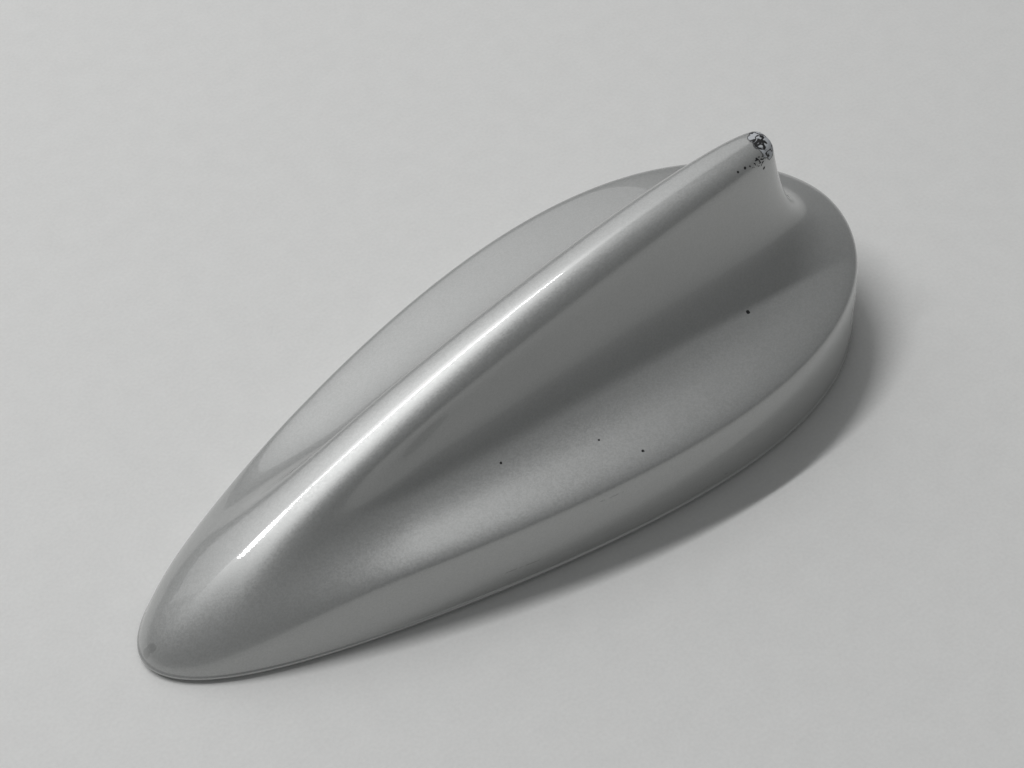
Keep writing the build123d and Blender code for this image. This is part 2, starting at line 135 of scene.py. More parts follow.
class AntennaCoverSizes(bpy.types.PropertyGroup):
    """Sizes of the painted cover, measured from its nose."""

    length: FloatProperty(name="Length", description="Nose to tail", unit="LENGTH",
                          default=cad_high.x - cad_low.x)
    rim_half: size("Rim half width", "Half width that the rim's plan is drawn with", 29.7)
    rim_gap: size("Rim gap", "Height of the rim's lower edge above the roof", 1.0)
    lip_high: size("Lip height", "Height of the fine lip round the rim's lower edge", 0.45)
    lip_out: size("Lip reach", "How far the lip stands out from the rim's face", 0.2)
    lip_blend: size("Lip blend", "Height over which the lip turns into the rim's face", 0.35)
    lip_fade: size("Lip fade", "Height over which the face above the lip comes back out", 6.0)
    shoulder_inset: size("Shoulder inset", "How much narrower the shoulder's plan is than the rim's", 1.2)
    shoulder_nose: size("Shoulder at nose", "Height of the shoulder at the nose", 8.0)
    shoulder_tail: size("Shoulder at tail", "Height of the shoulder at the tail", 17.8)
    scoop_nose: size("Scoop at nose", "Height of the scoop's floor at the nose", 13.0)
    scoop_tail: size("Scoop at tail", "Height of the scoop's floor at the tail", 23.4)
    scoop_half: size("Scoop half width", "Half width that the scoop's floor line is drawn with", 9.0)
    strip_half: size("Strip half width", "Half width that the strip along the fin's top is drawn with", 4.6)
    strip_drop: size("Strip drop", "Fall of the strip from its crest to its edge", 0.3)
    ridge_foot: size("Ridge foot", "Height at which the ridge starts", 11.6)
    ridge_tip: size("Ridge tip", "Height of the fin's tip", 45.4)
    wall: size("Wall", "Thickness of the moulded wall", 2.2)
    ledge: size("Ledge", "Height of the step that the base seats on", 6.4)
    setback: size("Setback", "Extra thickness of the wall at the nose", 5.6)
    mouth_inset: size("Mouth inset", "Wall at the mouth above the ledge", 3.6)
    pocket_inset: size("Pocket inset", "Wall beside the pocket for the base", 2.4)
    ribs: IntProperty(name="Ribs", description="Cross sections from nose to tail", default=201, min=21)
    rows: IntProperty(name="Rows", description="Rows from rim to ridge", default=131, min=21)
    lip_rows: IntProperty(name="Lip rows", description="Close rows round the lip", default=24, min=4)
    inner_rows: IntProperty(name="Inner rows", description="Rows of the inside", default=41, min=11)


class AntennaInsertSizes(bpy.types.PropertyGroup):
    """Sizes of the threaded inserts in the base."""

    bore: size("Bore", "Radius at the thread's crests", 2.1)
    groove: size("Groove", "Depth of the thread", 0.4)
    pitch: size("Pitch", "Rise of the thread in one turn", 0.8)
    bevel: size("Bevel", "Depth of the opening's bevel", 0.5)


class AntennaFinishes(bpy.types.PropertyGroup):
    """Colours of the finishes."""

    paint_light: tone("Paint, light", "Flakes that face up", (0.5, 0.505, 0.5))
    paint_dark: tone("Paint, dark", "Flakes that face away", (0.4, 0.405, 0.4))
    bare: tone("Bare plastic", "Moulding under chipped paint", (0.55, 0.57, 0.6))
    scuff: tone("Scuff", "Dark rims of chips and specks", (0.012, 0.012, 0.013))
    cast: tone("Cast metal", "Base casting", (0.6, 0.61, 0.62))
    rubber: tone("Rubber", "Seals", (0.022, 0.022, 0.024))
    steel: tone("Plated steel", "Screws, shield and springs", (0.58, 0.58, 0.57))
    brass: tone("Brass", "Inserts, contacts and clip", (0.74, 0.55, 0.26))
    copper: tone("Copper", "Foils of the upright board", (0.78, 0.42, 0.27))
    mask: tone("Solder mask", "Circuit boards", (0.02, 0.15, 0.06))
    black: tone("Black plastic", "Socket block, holder and chips", (0.018, 0.018, 0.019))
    ceramic: tone("Ceramic", "Patch aerial", (0.66, 0.58, 0.45))
    silver: tone("Printed silver", "Electrode of the patch", (0.8, 0.78, 0.74))
    white: tone("White plastic", "Insulators of the sockets", (0.82, 0.8, 0.75))
    foam: tone("Foam", "Soft pads", (0.06, 0.06, 0.065))


class AntennaStage(bpy.types.PropertyGroup):
    """Bench, light and camera."""

    bench: tone("Bench", "Colour of the pale bench", (0.82, 0.82, 0.81))
    sky: share("Sky", "Brightness of the even light all round", 0.18)
    strip_power: share("Strip lamp", "Power of the long lamp high over the far side", 8.0)
    far_power: share("Far lamp", "Power of the large soft lamp on the far side", 14.0)
    shift_x: share("Shift across", "Sideways shift of the camera's frame", -0.00026)
    shift_y: share("Shift up", "Upright shift of the camera's frame", -0.01185)
    lens: share("Lens", "Focal length in millimetres on a 36 mm sensor", 67.463)
    distance: size("Distance", "Camera to the middle of the antenna", 345.747)
    azimuth: share("Azimuth", "Camera's turn about the upright axis in degrees", -39.546)
    elevation: share("Elevation", "Camera's height above the bench in degrees", 50.0)
    roll: share("Roll", "Camera's roll in degrees", 1.458)


# Shapes


def rail(u, front, rear, half, lean, belly, power):
    """Half plan curve: with t = (1 - cos(pi u)) / 2 and c = 2 t - 1,
    x = rear - (rear - front) (1 - t)^power and y = half sin(pi u) (1 + lean c + belly c^2)."""
    t = (1 - np.cos(np.pi * u)) / 2
    c = 2 * t - 1
    return rear - (rear - front) * (1 - t) ** power, half * np.sin(np.pi * u) * (1 + lean * c + belly * c * c)


def smooth(value, start, span):
    """Soft step t^2 (3 - 2 t), t running from 0 at start to 1 at start + span."""
    t = np.clip((value - start) / span, 0, 1)
    return t * t * (3 - 2 * t)


def mix(a, b, t):
    """The point at share t from a to b."""
    return a + (b - a) * t


def spline_knots(controls=8, degree=3):
    """Knots of a clamped uniform B-spline."""
    return np.concatenate([np.zeros(degree), np.linspace(0, 1, controls - degree + 1), np.ones(degree)])


def spline_weights(v, controls=8, degree=3):
    """B-spline weights by the usual rise from degree to degree: one row per control, one column per v."""
    spans = controls - degree
    knots = spline_knots(controls, degree)
    cell = np.minimum((v * spans).astype(int), spans - 1) + degree
    weights = (np.arange(len(knots) - 1)[:, None] == cell[None, :]).astype(float)
    for d in range(1, degree + 1):
        rise = knots[d:] - knots[:-d]
        rise = np.where(rise > 0, rise, np.inf)
        part = (v[None, :] - knots[:-d, None]) / rise[:, None]
        weights = part[:-1] * weights[:-1] + (1 - part[1:]) * weights[1:]
    return weights


def ridge_line(s, x):
    """Height and slope of the ridge at x: foot + (tip - foot) (a r + b r^2 + c r^3), r being its run from 0 to 1."""
    start, end = RIDGE_RUN
    a, b, c = RIDGE_CUBIC
    r = (x / s.length - start) / (end - start)
    rise = s.ridge_tip - s.ridge_foot
    height = s.ridge_foot + rise * (a * r + b * r**2 + c * r**3)
    return height, rise / ((end - start) * s.length) * (a + 2 * b * r + 3 * c * r**2)


def cover_ribs(s, u, skin=0.0, edge=0.0, nose=0.0, foot=None):
    """Controls of the ribs at u, as (8, n, 3), drawn in by skin, edge and nose for the inside of the wall.

    Behind the nose they follow the rim, the shoulder, the scoop's floor, the strip's edge and the crest, with three
    in-betweens. The shoulder rises as tail - (tail - nose) (1 - x / length)^SHOULDER_RISE, the floor as x does.
    At the nose they lie on the bow R (1 - t)^2 + 2 M t (1 - t) + C t^2 from rim R to crest C, M being where the
    ridge's slope comes down over the rim and t the mean of each control's knots. depth turns bow into hollow."""
    long = s.length
    low = s.rim_gap if foot is None else foot

    def line(run, inset, half, plan, height):
        x, y = rail(u, run[0] * long + inset + nose, run[1] * long - inset, half, *plan)
        return np.stack([x, y, np.maximum(height(x), low)], -1)

    def shoulder_height(x):
        return s.shoulder_tail - (s.shoulder_tail - s.shoulder_nose) * (1 - x / long) ** SHOULDER_RISE - skin

    rim = line(RIM_RUN, edge, s.rim_half - edge, RIM_PLAN, lambda x: np.full_like(x, low))
    shoulder = line(SHOULDER_RUN, edge, s.rim_half - s.shoulder_inset - edge, SHOULDER_PLAN, shoulder_height)
    floor = line(FLOOR_RUN, skin, s.scoop_half - FLOOR_DRAW * skin, FLOOR_PLAN,
                 lambda x: s.scoop_nose + (s.scoop_tail - s.scoop_nose) * x / long - skin)
    corner = line(STRIP_RUN, skin, s.strip_half - skin, STRIP_PLAN,
                  lambda x: ridge_line(s, x)[0] - skin - s.strip_drop)
    crest = line(CREST_RUN, skin, 0.0, CREST_PLAN, lambda x: ridge_line(s, x)[0] - skin)
    pull = EDGE_PULL + TAIL_CRISP * smooth(corner[:, :1] / long, CRISP_START, CRISP_SPAN)
    hollow = np.stack([rim, mix(rim, shoulder, RIM_PULL), shoulder, mix(shoulder, floor, SCOOP_PULL), floor,
                       mix(floor, corner, pull), corner, crest])
    bend = rim.copy()
    bend[:, 2] = np.maximum(crest[:, 2] + ridge_line(s, crest[:, 0])[1] * (rim[:, 0] - crest[:, 0]), low)
    bend = mix((rim + crest) / 2, bend, BOW_FULL)
    t = np.convolve(spline_knots()[1:-1], np.full(3, 1 / 3), "valid")[:, None, None]
    bow = rim * (1 - t) ** 2 + bend * 2 * t * (1 - t) + crest * t**2
    depth = smooth(u, BOW_END, BOW_BLEND)
    return mix(bow, hollow, depth[None, :, None])


def draw_in(points, u, s, depth):
    """Moves points of the ribs at u inwards, level, along the rim plan's normal by depth."""
    x, y = rail(u, 0.0, s.length, s.rim_half, *RIM_PLAN)
    tangent = np.stack([np.gradient(x), np.gradient(y)], -1)
    tangent[0], tangent[-1] = (0.0, 1.0), (0.0, -1.0)
    tangent /= np.linalg.norm(tangent, axis=1, keepdims=True)
    inward = np.stack([tangent[:, 1], -tangent[:, 0], np.zeros(len(u))], -1)
    return points + inward[:, None, :] * depth[..., None]


def cover_half(s):
    """One half of the cover's closed wall as a grid (ribs, rows, 3), each point the sum of weights times controls.

    The rows run down the inside from ridge to mouth, over the ledge, down the pocket for the base, under the rim and
    up the outside to the ridge. Above the lip the outside is drawn in by lip_out times a soft step over lip_blend
    times (1 - h / lip_fade)^2, h being the height over the lip."""
    u = np.linspace(0, 1, s.ribs)
    v = np.concatenate([np.linspace(0, LIP_SPAN, s.lip_rows), np.linspace(LIP_SPAN, 1, s.rows)[1:]])
    outside = np.einsum("kv,kud->uvd", spline_weights(v), cover_ribs(s, u))
    high = outside[..., 2] - s.rim_gap - s.lip_high
    fade = np.clip(1 - high / s.lip_fade, 0, 1)
    outside = draw_in(outside, u, s, s.lip_out * smooth(high, -s.lip_blend / 2, s.lip_blend) * fade**2)

    def ring(height):
        inset = s.pocket_inset
        x, y = rail(u, inset + s.setback, s.length - inset, s.rim_half - inset, *RIM_PLAN)
        return np.stack([x, y, np.full_like(x, height)], -1)[:, None, :]

    inside = np.einsum("kv,kud->uvd", spline_weights(np.linspace(1, 0, s.inner_rows)),
                       cover_ribs(s, u, s.wall, s.mouth_inset, s.setback, s.ledge))
    grid = np.concatenate([inside, ring(s.ledge), ring(s.rim_gap), outside], axis=1)
    grid[[0, -1], :, 1] = 0.0
    grid[:, [0, -1], 1] = 0.0
    return grid


def two_halves(grid):
    """Points and four-cornered faces of a half grid and its mirror image, joined along the middle plane."""
    count, rows = grid.shape[:2]
    near = np.arange(count * rows).reshape(count, rows)
    seam = np.zeros((count, rows), bool)
    seam[[0, -1], :] = True
    seam[:, [0, -1]] = True
    far = near.copy()
    far[~seam] = count * rows + np.arange((~seam).sum())
    points = np.concatenate([grid.reshape(-1, 3), grid[~seam] * (1, -1, 1)])

    def cells(at, turn):
        faces = np.stack([at[:-1, :-1], at[1:, :-1], at[1:, 1:], at[:-1, 1:]], -1).reshape(-1, 4)
        return faces[:, ::-1] if turn else faces

    return points, np.concatenate([cells(near, True), cells(far, False)])


def wrapped(grid):
    """Points and faces of a grid that closes on itself both ways."""
    count, rows = grid.shape[:2]
    at = np.arange(count * rows).reshape(count, rows)
    right, down = np.roll(at, -1, 0), np.roll(at, -1, 1)
    return grid.reshape(-1, 3), np.stack([at, right, np.roll(right, -1, 1), down], -1).reshape(-1, 4)


def threaded_tube(x, low, high, outer, s):
    """Threaded insert as a closed grid: round it by angle a, and along its section up the bore and down the wall.
    The bore's radius is bore + groove times a clipped triangle wave of z / pitch - a / 2 pi, wider at both ends."""
    a = np.linspace(0, 2 * pi, 72, endpoint=False)[:, None]
    z = np.linspace(low, high, 96)[None, :]
    wave = np.abs(((z - low) / s.pitch - a / (2 * pi)) % 1.0 * 2 - 1)
    wave = np.clip(wave * 1.3 - 0.15, 0, 1)
    lead = np.clip(s.bevel - np.minimum(z - low, high - z), 0, None)
    bore = np.maximum(s.bore + s.groove * wave, s.bore + lead)
    wall = np.linspace(high, low, 5)[None, :] + 0 * a
    radius = np.concatenate([bore, np.full_like(wall, outer)], 1)
    z = np.concatenate([z + 0 * a, wall], 1)
    return np.stack([x + radius * np.cos(a), radius * np.sin(a), z], -1)


def lay(name, points, faces, crease=40.0):
    """Puts arrays of points and four-cornered faces into a mesh at the origin, smooth but for its corners."""
    mesh = bpy.data.meshes.new(name)
    mesh.vertices.add(len(points))
    mesh.vertices.foreach_set("co", np.ascontiguousarray(points, np.float32).ravel())
    mesh.loops.add(faces.size)
    mesh.loops.foreach_set("vertex_index", np.ascontiguousarray(faces, np.int32).ravel())
    mesh.polygons.add(len(faces))
    mesh.polygons.foreach_set("loop_start", np.arange(0, faces.size, 4, dtype=np.int32))
    mesh.update(calc_edges=True)
    mesh.validate()
    mesh.shade_smooth()
    mesh.set_sharp_from_angle(angle=radians(crease))
    piece = bpy.data.objects.new(name, mesh)
    bpy.context.scene.collection.objects.link(piece)
    return piece


# Finishes


def put(tree, kind, feeds=None, **settings):
    """Adds a node: feeds pairs an input's name or number with a value or with another node's output."""
    made = tree.nodes.new(kind)
    for name, value in settings.items():
        setattr(made, name, value)
    for socket, value in (feeds or {}).items():
        if isinstance(value, bpy.types.NodeSocket):
            tree.links.new(value, made.inputs[socket])
        else:
            made.inputs[socket].default_value = value
    return made


def math(tree, operation, a, b=0.0, clamp=False):
    """Output of one sum on two numbers or outputs."""
    return put(tree, "ShaderNodeMath", {0: a, 1: b}, operation=operation, use_clamp=clamp).outputs[0]


def vector(tree, operation, a, b=(0.0, 0.0, 0.0), out="Vector"):
    """Output of one sum on two vectors."""
    return put(tree, "ShaderNodeVectorMath", {0: a, 1: b}, operation=operation).outputs[out]


def ramp(tree, value, low, high, to_low=0.0, to_high=1.0):
    """Soft step of a value from low to high."""
    feeds = {"Value": value, "From Min": low, "From Max": high, "To Min": to_low, "To Max": to_high}
    return put(tree, "ShaderNodeMapRange", feeds, interpolation_type="SMOOTHSTEP").outputs["Result"]


def noise(tree, place, scale, detail, distortion=0.0):
    """Output of a noise between 0 and 1."""
    feeds = {"Vector": place, "Scale": scale, "Detail": detail, "Distortion": distortion}
    return put(tree, "ShaderNodeTexNoise", feeds).outputs[0]


def most(tree, masks):
    """The largest of several masks."""
    found = 0.0
    for mask in masks:
        found = math(tree, "MAXIMUM", found, mask)
    return found


def blend(tree, factor, a, b):
    """Colour between a and b."""
    return put(tree, "ShaderNodeMix", {0: factor, 6: a, 7: b}, data_type="RGBA").outputs[2]


def effect(name, inputs, outputs):
    """Starts a shader node group with named sockets and returns its tree, input node and output node."""
    tree = bpy.data.node_groups.new(name, "ShaderNodeTree")
    for label, kind, value in inputs:
        socket = tree.interface.new_socket(name=label, in_out="INPUT", socket_type="NodeSocket" + kind)
        socket.default_value = value
    for label, kind in outputs:
        tree.interface.new_socket(name=label, in_out="OUTPUT", socket_type="NodeSocket" + kind)
    return tree, tree.nodes.new("NodeGroupInput"), tree.nodes.new("NodeGroupOutput")


def grain_effect():
    """Fine and coarse mottle of a moulded, cast or plated surface: two noises, mixed by Coarse."""
    if "Grain" in bpy.data.node_groups:
        return bpy.data.node_groups["Grain"]
    inputs = [("Place", "Vector", (0, 0, 0)), ("Scale", "Float", 800.0), ("Coarse", "Float", 0.4)]
    tree, into, out = effect("Grain", inputs, [("Value", "Float")])
    place, scale, coarse = (into.outputs[label] for label, kind, value in inputs)
    fine = noise(tree, place, scale, 4.0)
    broad = noise(tree, place, math(tree, "MULTIPLY", scale, 0.12), 3.0)
    value = put(tree, "ShaderNodeMix", {0: coarse, 2: fine, 3: broad}, data_type="FLOAT")
    tree.links.new(value.outputs[0], out.inputs["Value"])
    return tree


def spot_effect():
    """Mask of a ragged patch: 1 where the distance from Centre, in shares of Reach and shifted by noise, is small."""
    if "Spot" in bpy.data.node_groups:
        return bpy.data.node_groups["Spot"]
    inputs = [("Place", "Vector", (0, 0, 0)), ("Centre", "Vector", (0, 0, 0)), ("Reach", "Vector", (MM, MM, MM)),
              ("Ragged", "Float", 0.5), ("Scale", "Float", 1500.0)]
    tree, into, out = effect("Spot", inputs, [("Mask", "Float")])
    place, centre, reach, ragged, scale = (into.outputs[label] for label, kind, value in inputs)
    away = vector(tree, "SUBTRACT", place, centre)
    away = vector(tree, "LENGTH", vector(tree, "DIVIDE", away, reach), out="Value")
    shift = math(tree, "MULTIPLY", math(tree, "SUBTRACT", noise(tree, place, scale, 3.0), 0.5), ragged)
    mask = ramp(tree, math(tree, "ADD", away, shift), 0.85, 1.0, 1.0, 0.0)
    tree.links.new(mask, out.inputs["Mask"])
    return tree


def scratch_effect():
    """Mask of a broken line: 1 within Width of the segment From to To, thinned by noise."""
    if "Scratch" in bpy.data.node_groups:
        return bpy.data.node_groups["Scratch"]
    inputs = [("Place", "Vector", (0, 0, 0)), ("From", "Vector", (0, 0, 0)), ("To", "Vector", (MM, 0, 0)),
              ("Width", "Float", SCRATCH_WIDTH)]
    tree, into, out = effect("Scratch", inputs, [("Mask", "Float")])
    place, start, end, width = (into.outputs[label] for label, kind, value in inputs)
    along = vector(tree, "SUBTRACT", end, start)
    away = vector(tree, "SUBTRACT", place, start)
    part = math(tree, "DIVIDE", vector(tree, "DOT_PRODUCT", away, along, "Value"),
                vector(tree, "DOT_PRODUCT", along, along, "Value"), True)
    scaled = put(tree, "ShaderNodeVectorMath", {0: along, "Scale": part}, operation="SCALE").outputs["Vector"]
    gap = vector(tree, "LENGTH", vector(tree, "SUBTRACT", away, scaled), out="Value")
    near = ramp(tree, math(tree, "DIVIDE", gap, width), 0.3, 1.0, 1.0, 0.0)
    mask = math(tree, "MULTIPLY", near, ramp(tree, noise(tree, place, 1300.0, 4.0), 0.42, 0.6))
    tree.links.new(mask, out.inputs["Mask"])
    return tree


def finish(name, **settings):
    """Starts a material and returns it with its tree, its shader and the object's own coordinates."""
    material = bpy.data.materials.new(name)
    material.use_nodes = True
    tree = material.node_tree
    shader = tree.nodes["Principled BSDF"]
    for socket, value in settings.items():
        shader.inputs[socket.replace("_", " ")].default_value = value
    place = put(tree, "ShaderNodeTexCoord").outputs["Object"]
    return material, tree, shader, place


def use(tree, group, **feeds):
    """First output of a node group with its inputs set."""
    made = put(tree, "ShaderNodeGroup", node_tree=group)
    for name, value in feeds.items():
        if isinstance(value, bpy.types.NodeSocket):
            tree.links.new(value, made.inputs[name])
        else:
            made.inputs[name].default_value = value
    return made.outputs[0]


def shaded(colour, factor):
    """The colour times a factor, with full alpha."""
    return (*[min(c * factor, 1.0) for c in colour], 1.0)


def grained(name, colour, scale, rough, depth, spread=0.18, coarse=0.4, **settings):
    """A plain material with life: grain shifts its colour by spread, its roughness between two values, its height."""
    material, tree, shader, place = finish(name, **settings)
    value = use(tree, grain_effect(), Place=place, Scale=scale, Coarse=coarse)
    mottle = blend(tree, value, shaded(colour, 1 - spread), shaded(colour, 1 + spread))
    tree.links.new(mottle, shader.inputs["Base Color"])
    tree.links.new(ramp(tree, value, 0.3, 0.7, *rough), shader.inputs["Roughness"])
    bump = put(tree, "ShaderNodeBump", {"Strength": 0.5, "Distance": depth * MM, "Height": value})
    tree.links.new(bump.outputs[0], shader.inputs["Normal"])
    return material


def paint_finish(f):
    """Silver lacquer: flakes under a clear coat, chipped at the tip, with specks, scratches and darker spots low on
    the nose.
    """
    material, tree, shader, place = finish("silver_paint", IOR=1.5, Coat_Roughness=0.03, Coat_IOR=1.5)
    cells = put(tree, "ShaderNodeTexVoronoi", {"Vector": place, "Scale": 4200.0})
    flake = put(tree, "ShaderNodeSeparateColor", {0: cells.outputs["Color"]}).outputs[0]
    drift = use(tree, grain_effect(), Place=place, Scale=420.0, Coarse=0.6)
    level = math(tree, "ADD", math(tree, "MULTIPLY", flake, 0.55), math(tree, "MULTIPLY", drift, 0.45))
    colour = blend(tree, level, (*f.paint_dark, 1.0), (*f.paint_light, 1.0))

    def spot(**feeds):
        return use(tree, spot_effect(), Place=place, **feeds)

    chip, worn = spot(**CHIP), spot(**WORN_EDGE)
    lines = noise(tree, place, 460.0, 2.0, 0.6)
    crack = ramp(tree, math(tree, "ABSOLUTE", math(tree, "SUBTRACT", lines, 0.5)), 0.03, 0.06, 1.0, 0.0)
    edge = math(tree, "MULTIPLY", math(tree, "MULTIPLY", chip, math(tree, "SUBTRACT", 1.0, chip)), 3.6, True)
    flecks = math(tree, "MULTIPLY", worn, ramp(tree, noise(tree, place, 2300.0, 1.0), 0.52, 0.58))
    specks = [spot(Centre=at, Reach=(reach,) * 3, Ragged=0.5, Scale=3000.0) for at, reach in SPECKS]
    dark = most(tree, [math(tree, "MULTIPLY", chip, crack), flecks, edge, *specks])
    scored = most(tree, [use(tree, scratch_effect(), Place=place, From=start, To=end, Width=SCRATCH_WIDTH)
                         for start, end in SCRATCHES])
    # Darker patches low on the nose tip, blended towards a dark grey
    nose_dark = most(tree, [spot(Centre=at, Reach=(NOSE_DARK_REACH,) * 3, Ragged=1.2, Scale=900.0) for at in NOSE_DARK_SPOTS])
    colour = blend(tree, math(tree, "MULTIPLY", nose_dark, 0.35), colour, shaded(f.paint_dark, 0.45))
    colour = blend(tree, math(tree, "MULTIPLY", scored, 0.45), colour, shaded(f.paint_dark, 0.3))
    colour = blend(tree, chip, colour, (*f.bare, 1.0))
    colour = blend(tree, dark, colour, (*f.scuff, 1.0))

    bare = math(tree, "MAXIMUM", chip, dark)
    painted = math(tree, "SUBTRACT", 1.0, bare)
    rough = math(tree, "ADD", math(tree, "MULTIPLY", flake, 0.08), 0.36)
    rough = math(tree, "MAXIMUM", rough, math(tree, "MULTIPLY", bare, 0.6))
    height = math(tree, "SUBTRACT", math(tree, "MULTIPLY", flake, 0.06), bare)
    bump = put(tree, "ShaderNodeBump", {"Strength": 0.35, "Distance": 0.00008, "Height": height})
    tree.links.new(colour, shader.inputs["Base Color"])
    tree.links.new(math(tree, "MULTIPLY", painted, 0.55), shader.inputs["Metallic"])
    tree.links.new(painted, shader.inputs["Coat Weight"])
    tree.links.new(rough, shader.inputs["Roughness"])
    tree.links.new(bump.outputs[0], shader.inputs["Normal"])
    return material


def board_finish(f):
    """Solder mask over copper: lighter tracks on a square pitch under green lacquer."""
    material, tree, shader, place = finish("circuit_board", Coat_Weight=0.4, Coat_Roughness=0.15)
    tones = {"Color1": (0, 0, 0, 1), "Color2": (0.25, 0.25, 0.25, 1), "Mortar": (1, 1, 1, 1)}
    bricks = put(tree, "ShaderNodeTexBrick", {"Vector": place, "Scale": 170.0, "Mortar Size": 0.035, **tones})
    grain = use(tree, grain_effect(), Place=place, Scale=900.0, Coarse=0.3)
    track = put(tree, "ShaderNodeSeparateColor", {0: bricks.outputs["Color"]}).outputs[0]
    colour = blend(tree, track, shaded(f.mask, 0.8), shaded(f.mask, 1.7))
    colour = blend(tree, math(tree, "MULTIPLY", grain, 0.25), colour, shaded(f.mask, 0.5))
    tree.links.new(colour, shader.inputs["Base Color"])
    tree.links.new(ramp(tree, grain, 0.3, 0.7, 0.35, 0.5), shader.inputs["Roughness"])
    bump = put(tree, "ShaderNodeBump", {"Strength": 0.4, "Distance": 0.00004, "Height": track})
    tree.links.new(bump.outputs[0], shader.inputs["Normal"])
    return material


def foam_finish(f):
    """Open-cell foam: its cells darkened by painted shade in the pores, the walls between them lightened by painted
    light.
    """
    material, tree, shader, place = finish("foam", Roughness=0.95)
    cells = put(tree, "ShaderNodeTexVoronoi", {"Vector": place, "Scale": 1900.0}, feature="DISTANCE_TO_EDGE")
    walls = ramp(tree, cells.outputs["Distance"], 0.03, 0.2, 1.0, 0.0)
    # Painted shade darkens the cells, which are the pores, and painted light brightens the walls between them
    tree.links.new(blend(tree, walls, shaded(f.foam, 0.4), shaded(f.foam, 1.5)), shader.inputs["Base Color"])
    bump = put(tree, "ShaderNodeBump", {"Strength": 0.8, "Distance": 0.0002, "Height": walls})
    tree.links.new(bump.outputs[0], shader.inputs["Normal"])
    return material


def dress(material, *names):
    """Gives CAD pieces a finish."""
    for name in names:
        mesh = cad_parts[name].data
        mesh.materials.clear()
        mesh.materials.append(material)


# Operators


class ANTENNA_OT_cover(bpy.types.Operator):
    """Builds the painted fin cover"""

    bl_idname = "antenna.cover"
    bl_label = "Painted cover"

    def execute(self, context):
        sizes = context.scene.antenna_cover
        points, faces = two_halves(cover_half(sizes))
        points = points - (sizes.length / 2, 0.0, 0.0)
        cover = lay("cover_shell", points, faces)
        cover.data.materials.append(paint_finish(context.scene.antenna_finishes))
        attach(cover, BODY)
        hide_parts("cover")
        return {"FINISHED"}


class ANTENNA_OT_base(bpy.types.Operator):
    """Dresses the base casting"""

    bl_idname = "antenna.base"
    bl_label = "Base casting"

    def execute(self, context):
        f = context.scene.antenna_finishes
        cast = grained("cast_metal", f.cast, 900.0, (0.42, 0.62), 0.05, coarse=0.35, Metallic=0.9)
        dress(cast, "base_plate")
        return {"FINISHED"}


class ANTENNA_OT_seals(bpy.types.Operator):
    """Dresses the rubber seals"""

    bl_idname = "antenna.seals"
    bl_label = "Seals"

    def execute(self, context):
        f = context.scene.antenna_finishes
        dress(grained("seal_rubber", f.rubber, 1400.0, (0.62, 0.82), 0.03, spread=0.3, coarse=0.5),
              "rim_gasket", "inner_seal", "centre_seal")
        return {"FINISHED"}


class ANTENNA_OT_fasteners(bpy.types.Operator):
    """Builds the threaded inserts and dresses the screws"""

    bl_idname = "antenna.fasteners"
    bl_label = "Inserts and screws"

    def execute(self, context):
        f = context.scene.antenna_finishes
        sizes = context.scene.antenna_inserts
        low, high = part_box("mount_inserts")
        outer = (high.y - low.y) / 2
        places = (low.x + outer, high.x - outer)
        parts = [wrapped(threaded_tube(x, low.z, high.z, outer, sizes)) for x in places]
        points = np.concatenate([p for p, q in parts])
        faces = np.concatenate([parts[0][1], parts[1][1] + len(parts[0][0])])
        inserts = lay("threaded_inserts", points, faces)
        brass = grained("brass_turned", f.brass, 1600.0, (0.24, 0.38), 0.01, spread=0.12, Metallic=1.0)
        inserts.data.materials.append(brass)
        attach(inserts, BODY)
        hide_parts("mount_inserts")
        dress(grained("plated_steel", f.steel, 1500.0, (0.24, 0.42), 0.01, spread=0.12, Metallic=1.0),
              "cover_screws", "board_screws", "shield_frame", "shield_lid", "ground_springs")
        return {"FINISHED"}


class ANTENNA_OT_boards(bpy.types.Operator):
    """Dresses the circuit boards and their parts"""

    bl_idname = "antenna.boards"
    bl_label = "Boards"

    def execute(self, context):
        f = context.scene.antenna_finishes
        dress(board_finish(f), "main_board", "fin_board")
        dress(grained("chip_plastic", f.black, 1800.0, (0.4, 0.55), 0.02), "board_chips", "fin_holder")
        dress(foam_finish(f), "fin_pad", "patch_pad")
        return {"FINISHED"}


class ANTENNA_OT_aerials(bpy.types.Operator):
    """Dresses the aerials"""

    bl_idname = "antenna.aerials"
    bl_label = "Aerials"

    def execute(self, context):
        f = context.scene.antenna_finishes
        dress(grained("fired_ceramic", f.ceramic, 1200.0, (0.5, 0.7), 0.02, spread=0.1), "patch_ceramic")
        dress(grained("printed_silver", f.silver, 2200.0, (0.3, 0.45), 0.01, spread=0.08, Metallic=0.9),
              "patch_electrode")
        dress(grained("copper_foil", f.copper, 900.0, (0.25, 0.4), 0.01, spread=0.15, Metallic=1.0),
              "fin_radiators")
        return {"FINISHED"}


class ANTENNA_OT_sockets(bpy.types.Operator):
    """Dresses the lead sockets"""

    bl_idname = "antenna.sockets"
    bl_label = "Lead sockets"

    def execute(self, context):
        f = context.scene.antenna_finishes
        dress(grained("black_plastic", f.black, 1300.0, (0.42, 0.6), 0.03, spread=0.25), "coax_housing")
        dress(grained("white_plastic", f.white, 1100.0, (0.35, 0.5), 0.01, spread=0.05), "coax_insulators")
        dress(grained("contact_brass", f.brass, 1900.0, (0.2, 0.32), 0.005, spread=0.1, Metallic=1.0),
              "coax_sleeves", "coax_pins", "patch_pin", "feed_clip")
        return {"FINISHED"}


